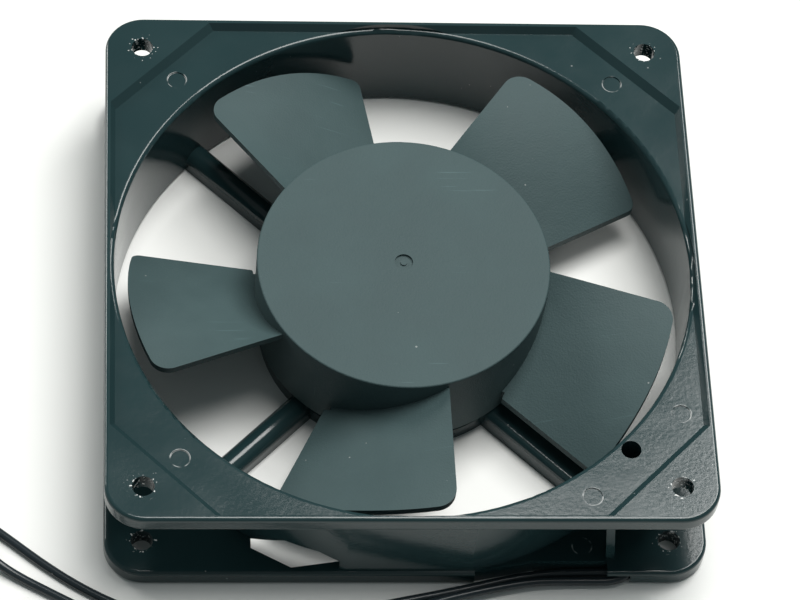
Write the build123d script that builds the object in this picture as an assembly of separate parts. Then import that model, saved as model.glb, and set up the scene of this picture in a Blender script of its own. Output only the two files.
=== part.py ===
from build123d import *
import math
import os

# Compact axial fan with a die-cast frame, a five-blade impeller on an external-rotor
# shaded-pole motor, and two bare-ended leads.
# Frame of reference: origin at the centre of the base plane, +Z towards the intake face,
# the leads leave at the near edge (-Y) beside the +X corner. All sizes in millimetres.

# ---- frame casting -----------------------------------------------------------------
SIDE = 120.0            # width and depth of the square flanges
DEPTH = 25.4            # strut face to intake face
CORNER_R = 8.0
FLANGE_T = 4.0
EDGE_R = 0.8            # rounding of the flanges' outer edges
BORE_MARGIN = 1.9       # least metal between the bore and a flange's edge
DUCT_WALL = 2.4
DUCT_INSET = 0.8        # the duct is cut flat this far inside the flanges
LIP_R = 0.9             # rounded mouth of the bore
RECESS = 1.5            # depth of the intake face's cast pocket
RIM_W = 1.1             # flat rim left round the pocket
RIM_SLOPE = 1.0         # how far the rim's inner side leans
PAD_RUN = 22.6          # pad's diagonal edge, measured along a side from the square's corner
PAD_SLOPE = 1.35        # how far the diagonal's side leans
HOLE_INSET = 7.6        # mounting hole to the flange's edges
HOLE_D = 4.4
PIN_MARK_R = 64.0       # ejector marks, on the pocket's floor
PIN_MARK_D = 3.9
PIN_MARK_DEPTH = 0.25
PIN_MARK_ANGLES = (45.0, 135.0, 225.0, -33.0, -57.0)
EARTH_HOLE_AT = 61.0    # earth screw hole, from the axis, beside the lead corner
EARTH_HOLE_D = 4.0
EARTH_BOSS_D = 8.4
EARTH_BOSS_FOOT = 10.0

# ---- struts and motor base ---------------------------------------------------------
STRUT_W = 5.2
STRUT_H = 5.0
LEAD_STRUT_W = 9.6
LEAD_STRUT_EDGE_R = 1.6
STRUT_ROOT = 1.5        # how far the struts run in over the base
BASE_R = 28.5
BASE_T = 3.2
STRUT_ANGLES = (45.0, 135.0, 225.0)
LEAD_ANGLE = -45.0
WINDOW_LEFT = (31.0, 5.9)   # wire window's near corners: left of the axis, inside the edge
WINDOW_MID = (23.1, 1.5)
WINDOW_RIGHT = (13.7, 2.9)
WINDOW_FAR = 14.0           # it opens into the bore before this far inside the edge
WINDOW_TOP_Z = 9.2          # its arch in the duct's foot
WINDOW_TOP_X = (24.5, 17.8)
WINDOW_END_Z = 7.2
POST_X = 37.7           # guard post beside the lead outlet, at its head
POST_LEAN = 1.8
POST_W = 1.7
POST_DEEP = 2.8
POST_INSET = 0.7        # its front inside the flanges' edge

# ---- leads inside the casting --------------------------------------------------------
LEAD_D = 1.8
LEAD_GAP = 0.2          # between the two leads, side by side
CHANNEL_PLAY = 0.3      # each side of the pair
CHANNEL_DEEP = 3.0      # under the lead strut and on through the lower flange
CLIP_T = 0.55
CLIP_START = 33.0
CLIP_L = 11.0
CLIP_SOLID_L = 2.75     # left solid at each end of its slot
CLIP_SLOT_W = 1.0
LEAD_Z = 1.6            # height of the leads' axis in the channel
LEAD_EXIT_X = 39.0      # where the pair ends its bend, heading along the near edge
LEAD_EXIT_INSET = 0.7   # the pair's middle inside that edge
LEAD_TAIL = 0.4         # straight end of the held leads
NOTCH_START_X = 39.6    # relief notch through the lower flange's edge, from the outlet
NOTCH_FULL_X = 25.0     # its depth starts to run out here
NOTCH_END_X = 13.2
NOTCH_DEEP = 2.9
NOTCH_END_DEEP = 0.6
DIP_START = 7.0         # the leads dip into the channel, measured inwards from the base's edge
DIP_END = 1.0
SPLICE_R = 10.5         # splice sleeves start this far from the axis
SPLICE_L = 7.0
BASE_WINDOW_GAP = 2.0   # sleeves to the window in the base
SLEEVE_WALL = 0.09
SPLICE_LIFT = 0.2       # sleeves above the base

# ---- impeller ----------------------------------------------------------------------
BLADES = 5
TIP_GAP = 2.8           # bore to blade tip
HUB_R = 29.6
HUB_WALL = 1.7
HUB_TOP_T = 1.8
HUB_DROP = 0.6          # hub's face below the intake face
SKIRT_GAP = 0.8         # hub's skirt above the struts
HUB_EDGE_R = 0.35
DIMPLE_D = 3.7
DIMPLE_DEEP = 0.5
GATE_D = 1.3
GATE_H = 0.3
BLADE_T = 1.7
BLADE_LOW_Z = 10.4      # upper side of a blade along its low edge
BLADE_ROOT_DROP = 2.1   # its high edge below the intake face, at the hub
BLADE_TIP_DROP = 2.8    # and at the tip
BLADE_ROOT_SAG = 0.6    # hollow of the section at the hub
BLADE_TIP_CROWN = 3.0   # crown of the section at the tip
BLADE_AXIS_ANGLE = 44.0
LOW_ROOT = (31.0, -21.5)    # a low edge's ends: radius, and angle from the blade's axis
LOW_TIP = (55.3, -19.3)
HIGH_ROOT = (30.2, 25.4)
HIGH_TIP = (55.3, 18.9)
HIGH_CORNER_R = 4.0
LOW_CORNER_R = 1.6
ROOT_NOTCH_DEEP = 1.0   # relief in a blade's low edge, beside the hub
ROOT_NOTCH_W = 1.0

# ---- motor -------------------------------------------------------------------------
SHELL_T = 0.7
ROTOR_RING_W = 5.3
AIR_GAP = 0.4
STACK_H = 8.5
BARS = 16
BAR_R = 1.2
END_RING_H = 1.4
END_RING_MARGIN = 0.4
POLES = 4
YOKE_W = 3.4
ARM_W = 6.4
SHOE_T = 3.2
SHOE_HALF_ANGLE = 38.0
SLOT_ANGLE = 22.0
SHADE_W = 1.1
SHADE_T = 1.4
SHADE_ROOM = 0.5        # ring's opening wider than the horn it holds
SHADE_SHIFT = 0.3       # ring's middle, off the horn's middle towards the tip
SHADE_PLAY = 0.1
INSULATOR_T = 0.6
COIL_SIDE = 2.6
COIL_END = 1.8
COIL_PLAY = 0.1
COIL_INSET = 0.6        # coil to yoke, and coil to pole shoe
COIL_ROUND = 1.2

# ---- shaft and bearings --------------------------------------------------------------
SHAFT_R = 1.5
RACE_OUTER_R = 4.0
RACE_W = 4.0
RACE_T = 0.65
BALLS = 7
BALL_R = 0.8
BALL_PLAY = 0.02        # ball to raceway, all round
CAGE_T = 0.3
CAGE_H = 2.3
CAGE_PLAY = 0.06
TUBE_WALL = 1.6
TUBE_TOP = 18.0
SHOULDER_W = 0.5
LOWER_RACE_Z = 2.6
SHIM_T = 0.3
SHIM_W = 0.8
CLIP_RING_T = 0.4
CLIP_RING_W = 1.3
CLIP_GROOVE = 0.3
CLIP_MOUTH = 1.6
SHAFT_TAIL = 0.7
SHAFT_CHAMFER = 0.2
SPRING_H = 0.8
SPRING_T = 0.25
SPRING_R = 3.1
SPRING_PLAY = 0.1       # round the shaft
BUSH_FLANGE_R = 4.5
BUSH_R = 3.6
BUSH_CROWN = 0.5
CAP_R = 5.2
CAP_T = 0.5
LABEL_R = 19.0
LABEL_T = 0.2
LABEL_PLAY = 0.2
LABEL_RECESS = 0.35

# ---- free leads on the standing surface ----------------------------------------------
BEND_SHARE = 0.45       # share of a straight run that a bend at its end may use
SURFACE_PLAY = 0.02
COIL_AT = (-98.0, -50.0)
COIL_MID_R = 9.4
COIL_LAYERS = 2
COIL_TURNS_WIDE = 3.7
COIL_SLACK = 0.1        # height that the layers have to spare
TIE_T = 0.3
TIE_ANGLE = 102.0       # middle of the tie on the coil
TIE_SPAN = 24.0         # share of the coil that the tie covers, in degrees
TIP_D = 1.1
TIP_L = 6.0
TIP_TURN = 45.0         # how far the tips turn in from the turns' direction
TIP_ANGLE_1 = 212.0     # where each lead's winding ends
TIP_ANGLE_2 = 180.0

# ---- how far tools and joined forms run past a surface ---------------------------------
CUT_OVER = 1.0
EMBED = 0.2
TRIM_OVER = 1.5

# ---- sizes that follow from the ones above -------------------------------------------
HALF = SIDE / 2
BORE_R = HALF - BORE_MARGIN
DUCT_R = BORE_R + DUCT_WALL
FLOOR_Z = DEPTH - RECESS
HOLE_AT = HALF - HOLE_INSET
TIP_R = BORE_R - TIP_GAP
HUB_TOP = DEPTH - HUB_DROP
HUB_CEILING = HUB_TOP - HUB_TOP_T
SKIRT_Z = STRUT_H + SKIRT_GAP
HUB_INNER_R = HUB_R - HUB_WALL
SHELL_INNER_R = HUB_INNER_R - SHELL_T
SHELL_CEILING = HUB_CEILING - SHELL_T
ROTOR_INNER_R = SHELL_INNER_R - ROTOR_RING_W
STATOR_R = ROTOR_INNER_R - AIR_GAP
STACK_Z = (BASE_T + SHELL_CEILING - STACK_H) / 2
STACK_TOP = STACK_Z + STACK_H
TUBE_R = RACE_OUTER_R + TUBE_WALL
YOKE_R = TUBE_R + YOKE_W
SHOE_R = STATOR_R - SHOE_T
UPPER_RACE_Z = TUBE_TOP - RACE_W
RACE_INNER_R = SHAFT_R + RACE_T
BALL_PITCH_R = (RACE_INNER_R + RACE_OUTER_R - RACE_T) / 2
BUSH_Z = TUBE_TOP + SHIM_T + SPRING_H
SHAFT_TOP = HUB_CEILING - BUSH_CROWN
CLIP_RING_Z = LOWER_RACE_Z - SHIM_T - CLIP_RING_T
SHAFT_Z = CLIP_RING_Z - SHAFT_TAIL
LEAD_OFFSET = (LEAD_D + LEAD_GAP) / 2
CHANNEL_HALF = LEAD_OFFSET + LEAD_D / 2 + CHANNEL_PLAY
SPLICE_Z = BASE_T + SPLICE_LIFT + LEAD_D / 2 + SLEEVE_WALL
SPLICE_END = SPLICE_R + SPLICE_L
LEAD_FLOOR = LEAD_D / 2 + SURFACE_PLAY
COIL_BAND = COIL_TURNS_WIDE * LEAD_D
COIL_H = COIL_LAYERS * LEAD_D + COIL_SLACK
COIL_CORNER_R = (LEAD_D - COIL_SLACK) / 2
COIL_BASE = TIE_T + SURFACE_PLAY


def polar(radius, degrees, z=0.0):
    """Point at a radius and an angle about the fan's axis."""
    turn = math.radians(degrees)
    return Vector(radius * math.cos(turn), radius * math.sin(turn), z)


def disc(radius, z0, z1):
    """Cylinder about the fan's axis from z0 to z1."""
    return Pos(0, 0, z0) * extrude(Circle(radius), z1 - z0)


def ring(outer, inner, z0, z1):
    """Flat ring about the fan's axis from z0 to z1."""
    return Pos(0, 0, z0) * extrude(Circle(outer) - Circle(inner), z1 - z0)


def block(x0, x1, y0, y1, z0, z1):
    """Box between two corners."""
    size = Box(x1 - x0, y1 - y0, z1 - z0)
    return Pos((x0 + x1) / 2, (y0 + y1) / 2, (z0 + z1) / 2) * size


def turned(profile):
    """Solid of revolution of a closed (radius, z) outline."""
    face = make_face(Plane.XZ * profile)
    return revolve(face, Axis.Z, 360)


def write(shape, name):
    """Save one node."""
    export_step(shape, f"parts/{name}.step")


# ---- frame ---------------------------------------------------------------------------
def flange(z0):
    """One square flange with rounded corners and edges."""
    plate = Pos(0, 0, z0) * extrude(RectangleRounded(SIDE, SIDE, CORNER_R), FLANGE_T)
    outer_edges = plate.faces().sort_by(Axis.Z)[0].edges() + plate.faces().sort_by(Axis.Z)[-1].edges()
    return fillet(outer_edges, EDGE_R)


def duct_wall():
    """Round duct, cut flat where it would pass the flanges' sides."""
    flat = SIDE - 2 * DUCT_INSET
    return disc(DUCT_R, 0, FLOOR_Z) & block(-flat / 2, flat / 2, -flat / 2, flat / 2, 0, DEPTH)


def pocket_outline(half, diagonal, z):
    """Square with its corners cut off along |x| + |y| = diagonal."""
    step = diagonal - half
    corners = [(half, step), (step, half), (-step, half), (-half, step),
               (-half, -step), (-step, -half), (step, -half), (half, -step)]
    return Pos(0, 0, z) * make_face(Polyline(*corners, close=True))


def pocket():
    """Cast pocket of the intake face, between the rim and the four corner pads."""
    half = HALF - RIM_W
    diagonal = SIDE - PAD_RUN
    mouth = pocket_outline(half, diagonal, DEPTH)
    floor = pocket_outline(half - RIM_SLOPE, diagonal - PAD_SLOPE * math.sqrt(2), FLOOR_Z)
    return loft([floor, mouth], ruled=True)


def bore_cut():
    """Air passage with a rounded mouth at each end."""
    mouth_r = BORE_R + LIP_R
    with BuildLine() as outline:
        Line((0, -CUT_OVER), (mouth_r, -CUT_OVER))
        Line((mouth_r, -CUT_OVER), (mouth_r, 0))
        RadiusArc((mouth_r, 0), (BORE_R, LIP_R), LIP_R)
        Line((BORE_R, LIP_R), (BORE_R, FLOOR_Z - LIP_R))
        RadiusArc((BORE_R, FLOOR_Z - LIP_R), (mouth_r, FLOOR_Z), LIP_R)
        Line((mouth_r, FLOOR_Z), (mouth_r, DEPTH + CUT_OVER))
        Line((mouth_r, DEPTH + CUT_OVER), (0, DEPTH + CUT_OVER))
        Line((0, DEPTH + CUT_OVER), (0, -CUT_OVER))
    return turned(outline.line)


def plain_strut(angle):
    """Half-round strut from the motor base to the duct."""
    start = BASE_R - STRUT_ROOT
    on_base = (Align.CENTER, Align.MIN)
    side = Rectangle(STRUT_W, STRUT_H - STRUT_W / 2, align=on_base)
    crown = Pos(0, STRUT_H - STRUT_W / 2) * Circle(STRUT_W / 2)
    section = (side + crown) & Rectangle(STRUT_W, STRUT_H, align=on_base)
    bar = extrude(Plane.YZ * section, BORE_R + DUCT_WALL / 2 - start)
    return Rot(0, 0, angle) * (Pos(start, 0, 0) * bar)


def lead_strut():
    """Wide strut that carries the leads, with rounded upper edges."""
    start = BASE_R - STRUT_ROOT
    bar = block(start, BORE_R + DUCT_WALL / 2, -LEAD_STRUT_W / 2, LEAD_STRUT_W / 2, 0, STRUT_H)
    top_edges = bar.edges().filter_by(Axis.X).group_by(Axis.Z)[-1]
    return Rot(0, 0, LEAD_ANGLE) * fillet(top_edges, LEAD_STRUT_EDGE_R)


def strut_point(along, beside, z):
    """Point on the lead strut: along it, beside it (+ towards +X) and above the base plane."""
    turn = math.radians(LEAD_ANGLE)
    x = along * math.cos(turn) - beside * math.sin(turn)
    y = along * math.sin(turn) + beside * math.cos(turn)
    return (x, y, z)


def corner_bend(beside):
    """A lead's two corners and its end in the lead corner, and the radius of its bend."""
    turn = math.radians((180 + LEAD_ANGLE) / 2)
    across = HALF - LEAD_EXIT_INSET - LEAD_EXIT_X
    leg = across / (math.sin(turn) + math.cos(turn) + BEND_SHARE)
    start = HALF - LEAD_EXIT_INSET - leg * math.sin(turn)
    first = Vector(start, -start, LEAD_Z)
    second = Vector(start - leg * math.cos(turn), LEAD_EXIT_INSET - HALF, LEAD_Z)
    before = polar(1, LEAD_ANGLE + 90)
    between = polar(1, LEAD_ANGLE + 90 - math.degrees(turn))
    after = Vector(0, -1)
    shift = beside / (1 + math.cos(turn))
    end = Vector(LEAD_EXIT_X - LEAD_TAIL, second.Y - beside, LEAD_Z)
    bend_r = BEND_SHARE * leg / math.tan(turn / 2) + beside
    return [first + (before + between) * shift, second + (between + after) * shift, end], bend_r


def held_route(beside):
    """A lead from its splice along the strut to its outlet, and its bend radii."""
    bend, bend_r = corner_bend(beside)
    points = [strut_point(SPLICE_END, beside, SPLICE_Z),
              strut_point(BASE_R - DIP_START, beside, SPLICE_Z),
              strut_point(BASE_R - DIP_END, beside, LEAD_Z), *[tuple(point) for point in bend]]
    return points, soft_radii(points[:4]) + [bend_r, bend_r]


def free_start(beside, distance):
    """Where a free lead starts, and the point straight on from it."""
    end = corner_bend(beside)[0][-1]
    return [tuple(end), (end.X - distance, end.Y, end.Z)]


def free_route_1():
    """Lead 1 from its outlet to its put-away coil."""
    return [*free_start(-LEAD_OFFSET, 6.2), (25.6, -58.75, 1.35), (18.8, -59.95, 1.15),
            (12.0, -61.65, 1.0), (4.6, -63.25, LEAD_FLOOR), (-3.4, -64.9, LEAD_FLOOR),
            (-12.5, -67.2, LEAD_FLOOR), (-22.5, -69.4, LEAD_FLOOR), (-33.5, -70.6, LEAD_FLOOR),
            (-44.5, -69.6, LEAD_FLOOR), (-54.5, -66.6, LEAD_FLOOR), (-63.6, -61.9, LEAD_FLOOR),
            (-71.6, -56.3, LEAD_FLOOR), (-80.1, -49.2, LEAD_FLOOR), (-86.6, -44.8, LEAD_FLOOR)]


def free_route_2():
    """Lead 2 from its outlet, leaning on lead 1, to its put-away coil."""
    return [*free_start(LEAD_OFFSET, 6.0), (25.4, -60.6, 2.1), (18.6, -61.85, 2.15),
            (11.6, -63.45, 2.15), (4.4, -65.3, 1.75), (-4.0, -67.6, 1.1),
            (-13.2, -70.8, LEAD_FLOOR), (-24.0, -73.6, LEAD_FLOOR), (-35.8, -74.9, LEAD_FLOOR),
            (-47.6, -73.3, LEAD_FLOOR), (-58.8, -68.9, LEAD_FLOOR), (-69.2, -63.1, LEAD_FLOOR),
            (-77.4, -58.5, 1.1), (-82.2, -55.2, 2.2), (-86.2, -51.4, 3.0)]


def soft_radii(points):
    """The largest tangent arcs that a route's straight runs allow."""
    places = [Vector(*point) for point in points]
    runs = [end - start for start, end in zip(places, places[1:])]
    radii = []
    for before, after in zip(runs, runs[1:]):
        turn = math.radians(before.get_angle(after))
        radii.append(BEND_SHARE * min(before.length, after.length) / math.tan(turn / 2))
    return radii


def tube(points, radii, diameter, name):
    """Round tube along runs joined by arcs; prints its radii and how its volume compares."""
    print(name, "bend radii", [round(radius, 1) for radius in radii])
    path = FilletPolyline(*[Vector(*point) for point in points], radius=radii)
    start = Plane(origin=path @ 0, z_dir=path % 0)
    solid = sweep(start * Circle(diameter / 2), path=path)
    expected = math.pi * diameter ** 2 / 4 * path.length
    print(name, "length", round(path.length, 1), "volume ratio", round(solid.volume / expected, 4))
    return solid


def held_lead(beside, name):
    """The part of a lead that the casting holds."""
    points, radii = held_route(beside)
    return tube(points, radii, LEAD_D, name)


def free_lead(points, name):
    """The part of a lead that lies free, up to its coil."""
    return tube(points, soft_radii(points), LEAD_D, name) - lead_coil()


def lead_channel():
    """Room for the leads: window in the base, channel under strut and flange, and notch."""
    bend, bend_r = corner_bend(0)
    start = Vector(*strut_point(BASE_R, 0, LEAD_Z))
    line = FilletPolyline(*[Vector(at.X, at.Y) for at in (start, *bend)], radius=[bend_r, bend_r])
    under = Pos(0, 0, -CUT_OVER)
    groove = under * extrude(trace(line, line_width=2 * CHANNEL_HALF), CHANNEL_DEEP + CUT_OVER)
    window = block(SPLICE_END + BASE_WINDOW_GAP, BASE_R + CUT_OVER, -CHANNEL_HALF, CHANNEL_HALF,
                   -CUT_OVER, BASE_T + CUT_OVER)
    outline = [(NOTCH_START_X, -HALF - CUT_OVER), (NOTCH_START_X, NOTCH_DEEP - HALF),
               (NOTCH_FULL_X, NOTCH_DEEP - HALF), (NOTCH_END_X, NOTCH_END_DEEP - HALF),
               (NOTCH_END_X, -HALF - CUT_OVER)]
    notch = under * extrude(make_face(Polyline(*outline, close=True)), FLANGE_T + 2 * CUT_OVER)
    return groove + Rot(0, 0, LEAD_ANGLE) * window + notch


def guard_post():
    """Leaning post between the flanges, beside the leads' way out."""
    head = POST_X
    foot = POST_X + POST_LEAN
    outline = [(head, DEPTH - FLANGE_T), (head + POST_W, DEPTH - FLANGE_T),
               (foot + POST_W, FLANGE_T), (foot, FLANGE_T)]
    face = make_face(Plane.XZ * Polyline(*outline, close=True))
    return Pos(0, -HALF + POST_INSET + POST_DEEP, 0) * extrude(face, POST_DEEP)


def wire_window():
    """Window through the lower flange and the duct's foot, beside the near left corner."""
    near = [(-across, inset - HALF) for across, inset in (WINDOW_LEFT, WINDOW_MID, WINDOW_RIGHT)]
    left = near[0][0]
    right = near[-1][0]
    plan = [*near, (right, WINDOW_FAR - HALF), (left, WINDOW_FAR - HALF)]
    through = Pos(0, 0, -CUT_OVER) * extrude(make_face(Polyline(*plan, close=True)), FLANGE_T + CUT_OVER)
    arch = [(left, FLANGE_T), (-WINDOW_TOP_X[0], WINDOW_TOP_Z), (-WINDOW_TOP_X[1], WINDOW_TOP_Z),
            (right, WINDOW_END_Z), (right, FLANGE_T)]
    face = Plane.XZ * make_face(Polyline(*arch, close=True))
    return through + Pos(0, WINDOW_FAR - HALF, 0) * extrude(face, WINDOW_FAR)


def bearing_tube_cut():
    """Stepped bore of the bearing tube, with the counterbore for the cap and the label."""
    bore = disc(RACE_OUTER_R, LABEL_RECESS, LOWER_RACE_Z + RACE_W)
    bore += disc(RACE_OUTER_R - SHOULDER_W, LOWER_RACE_Z, UPPER_RACE_Z)
    bore += disc(RACE_OUTER_R, UPPER_RACE_Z, TUBE_TOP + CUT_OVER)
    bore += disc(CAP_R, -CUT_OVER, LABEL_RECESS + CAP_T)
    return bore + disc(LABEL_R, -CUT_OVER, LABEL_RECESS)


def upright(place, radius, z0, z1):
    """Cylinder parallel to the axis, centred on a place in plan."""
    return Pos(place.X, place.Y, z0) * extrude(Circle(radius), z1 - z0)


def earth_boss():
    """Boss of the earth screw, hanging from the upper flange outside the bore."""
    place = polar(EARTH_HOLE_AT, LEAD_ANGLE)
    boss = upright(place, EARTH_BOSS_D / 2, EARTH_BOSS_FOOT, DEPTH - FLANGE_T)
    return boss - disc(BORE_R, 0, DEPTH)


def frame_holes():
    """Mounting holes, earth screw hole and shallow ejector marks."""
    earth_at = polar(EARTH_HOLE_AT, LEAD_ANGLE)
    holes = [upright(earth_at, EARTH_HOLE_D / 2, EARTH_BOSS_FOOT - CUT_OVER, DEPTH)]
    for x in (-HOLE_AT, HOLE_AT):
        for y in (-HOLE_AT, HOLE_AT):
            holes.append(upright(Vector(x, y), HOLE_D / 2, -CUT_OVER, DEPTH + CUT_OVER))
    for angle in PIN_MARK_ANGLES:
        mark = polar(PIN_MARK_R, angle)
        holes.append(upright(mark, PIN_MARK_D / 2, FLOOR_Z - PIN_MARK_DEPTH, DEPTH))
    return holes


def frame():
    """Die casting: two flanges, duct, struts, motor base, bearing tube and lead ways."""
    body = flange(0) + flange(DEPTH - FLANGE_T)
    body += duct_wall()
    body -= pocket()
    body -= bore_cut()
    for angle in STRUT_ANGLES:
        body += plain_strut(angle)
    body += lead_strut()
    body += disc(BASE_R, 0, BASE_T)
    body += disc(TUBE_R, 0, TUBE_TOP)
    body += earth_boss()
    body += guard_post()
    body -= frame_holes()
    body -= wire_window()
    body -= bearing_tube_cut()
    return body - lead_channel()


# ---- impeller --------------------------------------------------------------------------
def hub():
    """Impeller's cup with a centre dimple and its gate mark."""
    cup = disc(HUB_R, SKIRT_Z, HUB_TOP)
    cup = fillet(cup.edges().group_by(Axis.Z)[-1], HUB_EDGE_R)
    cup -= disc(HUB_INNER_R, SKIRT_Z - CUT_OVER, HUB_CEILING)
    dimple_z = HUB_TOP - DIMPLE_DEEP
    cup -= disc(DIMPLE_D / 2, dimple_z, HUB_TOP + CUT_OVER)
    return cup + disc(GATE_D / 2, dimple_z - EMBED, dimple_z + GATE_H)


def edge_line(root, tip, along):
    """Where a blade's edge is, beside the blade's axis, at a distance along it."""
    root_at = polar(*root)
    tip_at = polar(*tip)
    share = (along - root_at.X) / (tip_at.X - root_at.X)
    return root_at.Y + share * (tip_at.Y - root_at.Y)


def blade_section(along):
    """Section of the blade's sheet across its axis, hollow at the hub and crowned at the tip."""
    low = edge_line(LOW_ROOT, LOW_TIP, along)
    high = edge_line(HIGH_ROOT, HIGH_TIP, along)
    width = high - low
    share = (along - HUB_R) / (TIP_R - HUB_R)
    high_z = DEPTH - BLADE_ROOT_DROP - share * (BLADE_TIP_DROP - BLADE_ROOT_DROP)
    slope = (high_z - BLADE_LOW_Z) / width
    bow = share * BLADE_TIP_CROWN - (1 - share) * BLADE_ROOT_SAG
    fall = 4 * bow * TRIM_OVER * (width + TRIM_OVER) / width ** 2
    start = Vector(low - TRIM_OVER, BLADE_LOW_Z - TRIM_OVER * slope - fall)
    end = Vector(high + TRIM_OVER, high_z + TRIM_OVER * slope - fall)
    middle = Vector((low + high) / 2, (BLADE_LOW_Z + high_z) / 2 + bow)
    under = Vector(0, BLADE_T)
    with BuildLine() as outline:
        ThreePointArc(start, middle, end)
        Line(end, end - under)
        ThreePointArc(end - under, middle - under, start - under)
        Line(start - under, start)
    return Plane(origin=(along, 0, 0), x_dir=(0, 1, 0), z_dir=(1, 0, 0)) * make_face(outline.line)


def at_tip(vertex):
    """Whether a corner lies on the blade's tip."""
    return math.hypot(vertex.X, vertex.Y) > TIP_R - SURFACE_PLAY


def blade_plan():
    """Blade's outline in plan: straight edges, round tip, rounded corners, root notch."""
    inner = HUB_INNER_R - TRIM_OVER
    outer = SIDE / 2
    corners = [(inner, edge_line(LOW_ROOT, LOW_TIP, inner)), (outer, edge_line(LOW_ROOT, LOW_TIP, outer)),
               (outer, edge_line(HIGH_ROOT, HIGH_TIP, outer)), (inner, edge_line(HIGH_ROOT, HIGH_TIP, inner))]
    outline = make_face(Polyline(*corners, close=True)) & Circle(TIP_R)
    outline -= Circle(HUB_R - HUB_WALL / 2)
    outline = fillet(outline.vertices().filter_by(at_tip).sort_by(Axis.Y)[-1], HIGH_CORNER_R)
    outline = fillet(outline.vertices().filter_by(at_tip).sort_by(Axis.Y)[0], LOW_CORNER_R)
    notch_x = polar(HUB_R, LOW_ROOT[1]).X
    notch_y = edge_line(LOW_ROOT, LOW_TIP, notch_x)
    return outline - Pos(notch_x, notch_y) * Rectangle(2 * ROOT_NOTCH_W, 2 * ROOT_NOTCH_DEEP)


def blade():
    """One blade along +X: a lofted cambered sheet trimmed to its outline in plan."""
    stations = (HUB_INNER_R - 2 * TRIM_OVER, (HUB_R + TIP_R) / 2, TIP_R + 2 * TRIM_OVER)
    sheet = loft([blade_section(along) for along in stations])
    return sheet & extrude(blade_plan(), DEPTH)


def impeller():
    """Cup and blades in one moulding."""
    body = hub()
    one = blade()
    for number in range(BLADES):
        body += Rot(0, 0, BLADE_AXIS_ANGLE + number * 360 / BLADES) * one
    return body


# ---- rotor -----------------------------------------------------------------------------
def rotor_shell():
    """Steel cup pressed into the impeller."""
    cup = disc(HUB_INNER_R, SKIRT_Z + SKIRT_GAP, HUB_CEILING)
    cup -= disc(SHELL_INNER_R, SKIRT_Z, SHELL_CEILING)
    return cup - disc(BUSH_FLANGE_R, SKIRT_Z, HUB_TOP)


def bar_places():
    """Centres of the rotor's bars."""
    middle = (SHELL_INNER_R + ROTOR_INNER_R) / 2
    return [polar(middle, number * 360 / BARS) for number in range(BARS)]


def bar_set(z0, z1):
    """All the bars, between two heights."""
    return [Pos(at.X, at.Y, z0) * extrude(Circle(BAR_R), z1 - z0) for at in bar_places()]


def rotor_core():
    """Laminated ring with a round slot for each bar."""
    core = ring(SHELL_INNER_R, ROTOR_INNER_R, STACK_Z, STACK_TOP)
    return core - bar_set(STACK_Z - CUT_OVER, STACK_TOP + CUT_OVER)


def rotor_cage():
    """Cast cage: bars joined by an end ring at each side."""
    outer = SHELL_INNER_R - END_RING_MARGIN
    inner = ROTOR_INNER_R + END_RING_MARGIN
    cage = ring(outer, inner, STACK_Z - END_RING_H, STACK_Z)
    cage += ring(outer, inner, STACK_TOP, STACK_TOP + END_RING_H)
    return cage + bar_set(STACK_Z - EMBED, STACK_TOP + EMBED)


def rotor_bushing():
    """Brass bushing that joins the shaft to the cup."""
    body = disc(BUSH_FLANGE_R, SHELL_CEILING, HUB_CEILING) + disc(BUSH_R, BUSH_Z, SHELL_CEILING)
    return body - disc(SHAFT_R, BUSH_Z - CUT_OVER, SHAFT_TOP)


def shaft():
    """Shaft with a groove for its retaining ring and chamfered ends."""
    rod = disc(SHAFT_R, SHAFT_Z, SHAFT_TOP)
    rod = chamfer(rod.edges().filter_by(GeomType.CIRCLE), SHAFT_CHAMFER)
    return rod - ring(SHAFT_R + CUT_OVER, SHAFT_R - CLIP_GROOVE, CLIP_RING_Z, CLIP_RING_Z + CLIP_RING_T)


def retaining_ring():
    """Open spring ring in the shaft's groove."""
    inner = SHAFT_R - CLIP_GROOVE
    outer = inner + CLIP_RING_W
    body = ring(outer, inner, CLIP_RING_Z, CLIP_RING_Z + CLIP_RING_T)
    return body - block(0, 2 * outer, -CLIP_MOUTH / 2, CLIP_MOUTH / 2, 0, LOWER_RACE_Z)


def shim(z0):
    """Thin washer between a bearing's inner race and its neighbour."""
    return ring(SHAFT_R + SHIM_W, SHAFT_R, z0, z0 + SHIM_T)


def preload_spring():
    """Cone-shaped spring washer under the bushing."""
    low = TUBE_TOP + SHIM_T
    inner = SHAFT_R + SPRING_PLAY
    outline = [(inner, low), (inner + SPRING_T, low), (SPRING_R, low + SPRING_H - SPRING_T),
               (SPRING_R, low + SPRING_H), (SPRING_R - SPRING_T, low + SPRING_H), (inner, low + SPRING_T)]
    return turned(Polyline(*outline, close=True))


# ---- ball bearings -----------------------------------------------------------------------
def groove_tool(z0):
    """Ring-shaped raceway, for both races."""
    profile = Pos(BALL_PITCH_R, z0 + RACE_W / 2) * Circle(BALL_R + BALL_PLAY)
    return revolve(Plane.XZ * profile, Axis.Z, 360)


def outer_race(z0):
    """Bearing's outer race, seated in the tube."""
    return ring(RACE_OUTER_R, RACE_OUTER_R - RACE_T, z0, z0 + RACE_W) - groove_tool(z0)


def inner_race(z0):
    """Bearing's inner race, on the shaft."""
    return ring(RACE_INNER_R, SHAFT_R, z0, z0 + RACE_W) - groove_tool(z0)


def ball_places(z0):
    """Centres of a bearing's balls."""
    return [polar(BALL_PITCH_R, number * 360 / BALLS, z0 + RACE_W / 2) for number in range(BALLS)]


def balls(z0):
    """A bearing's balls, as separate solids."""
    return Compound(children=[Pos(at.X, at.Y, at.Z) * Sphere(BALL_R) for at in ball_places(z0)])


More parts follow.
